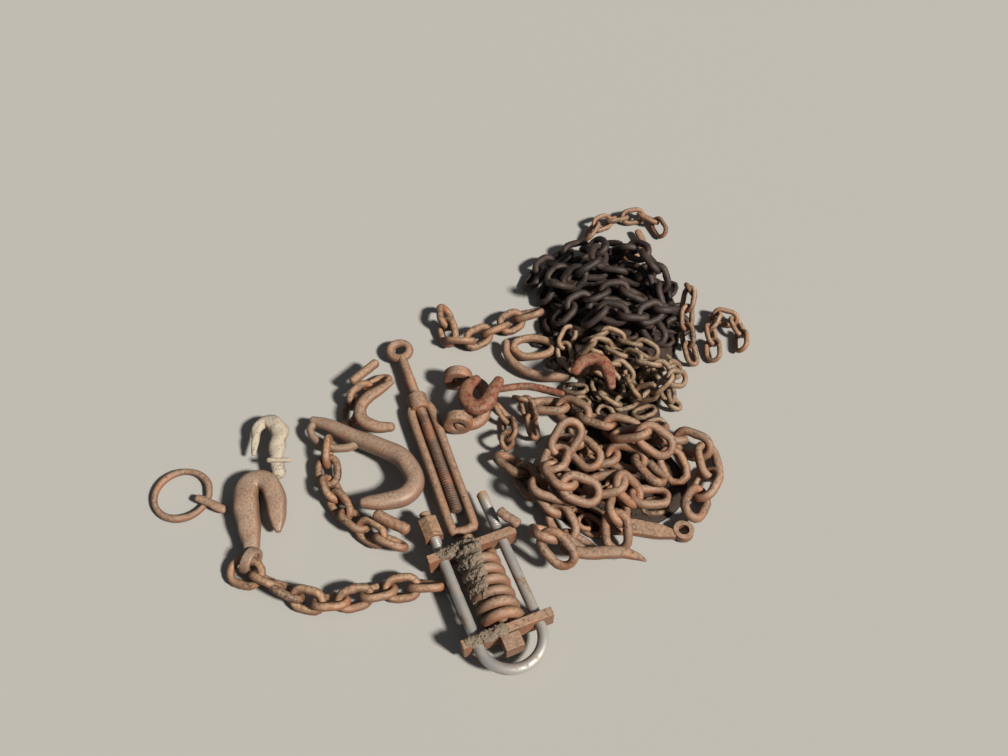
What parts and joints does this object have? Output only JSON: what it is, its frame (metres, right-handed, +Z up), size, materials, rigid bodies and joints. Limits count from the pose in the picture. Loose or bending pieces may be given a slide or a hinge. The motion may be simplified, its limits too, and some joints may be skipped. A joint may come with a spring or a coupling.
{
  "type": "heap of iron chain",
  "caption": "Low heap of rusty iron chain in three sizes, with hooks, rings, a turnbuckle, a clevis and a spring shackle lying in it.",
  "frame": {"origin": "middle of the heap's base on the floor", "axes": "+Z up, +Y away from the front of the heap, +X to the right when seen from the front"},
  "size_m": [0.759, 0.7174, 0.0766],
  "materials": {
    "rust": "brown rust, pitted and dull",
    "dusty_rust": "rust with dried dust",
    "dirty_rust": "rust with dried yellow-brown soil",
    "dark_rust": "dark damp rust",
    "forged_brown": "forged steel with a brown rust bloom",
    "red_paint": "worn red-brown paint over rust",
    "grey_mud": "steel under dried grey mud",
    "zinc": "zinc plating, lightly weathered"
  },
  "bodies": {
    "root": {"arc_hook": "red_paint", "back_chain": "rust", "back_hook": "dusty_rust", "big_hook": "forged_brown", "broken_bar": "dusty_rust", "centre_bolt": "dusty_rust", "chain_back_left": "rust", "chain_over_big_hook": "rust", "chain_to_left_hook": "rust", "chain_under_big_hook": "rust", "clevis": "dusty_rust", "core": "dark_rust", "crescent_hook": "dusty_rust", "curved_rod": "dusty_rust", "dark_chain_five": "dark_rust", "dark_chain_four": "dark_rust", "dark_chain_one": "dark_rust", "dark_chain_six": "dark_rust", "dark_chain_three": "dark_rust", "dark_chain_two": "dark_rust", "doubled_chain": "rust", "doubled_chain_end": "rust", "front_plate": "dusty_rust", "large_chain_cross": "dusty_rust", "large_chain_drop": "dusty_rust", "large_chain_front": "dusty_rust", "large_chain_inner": "dusty_rust", "large_chain_left": "dusty_rust", "large_chain_loop": "dusty_rust", "large_chain_low": "dusty_rust", "large_chain_middle": "dusty_rust", "large_chain_right": "dusty_rust", "large_chain_top": "dusty_rust", "left_grab_hook": "forged_brown", "lever_bar": "dusty_rust", "loose_ring": "dusty_rust", "muddy_hook": "grey_mud", "muddy_pin": "grey_mud", "oblong_ring": "rust", "prong_bar": "dusty_rust", "rear_plate": "dusty_rust", "red_hook": "red_paint", "ring_bar": "dusty_rust", "rod_stub": "dusty_rust", "short_link": "rust", "small_chain_back": "dirty_rust", "small_chain_left": "rust", "small_chain_mid": "dirty_rust", "small_chain_next": "rust", "small_chain_ridge": "dirty_rust", "small_chain_slope": "dirty_rust", "small_chain_under": "dirty_rust", "small_chain_upper": "dirty_rust", "spring": "dusty_rust", "straight_rod": "red_paint", "tall_nut": "rust", "turnbuckle_body": "dusty_rust", "turnbuckle_eye_rod": "dusty_rust", "u_bolt": "zinc"}
  },
  "joints": []
}
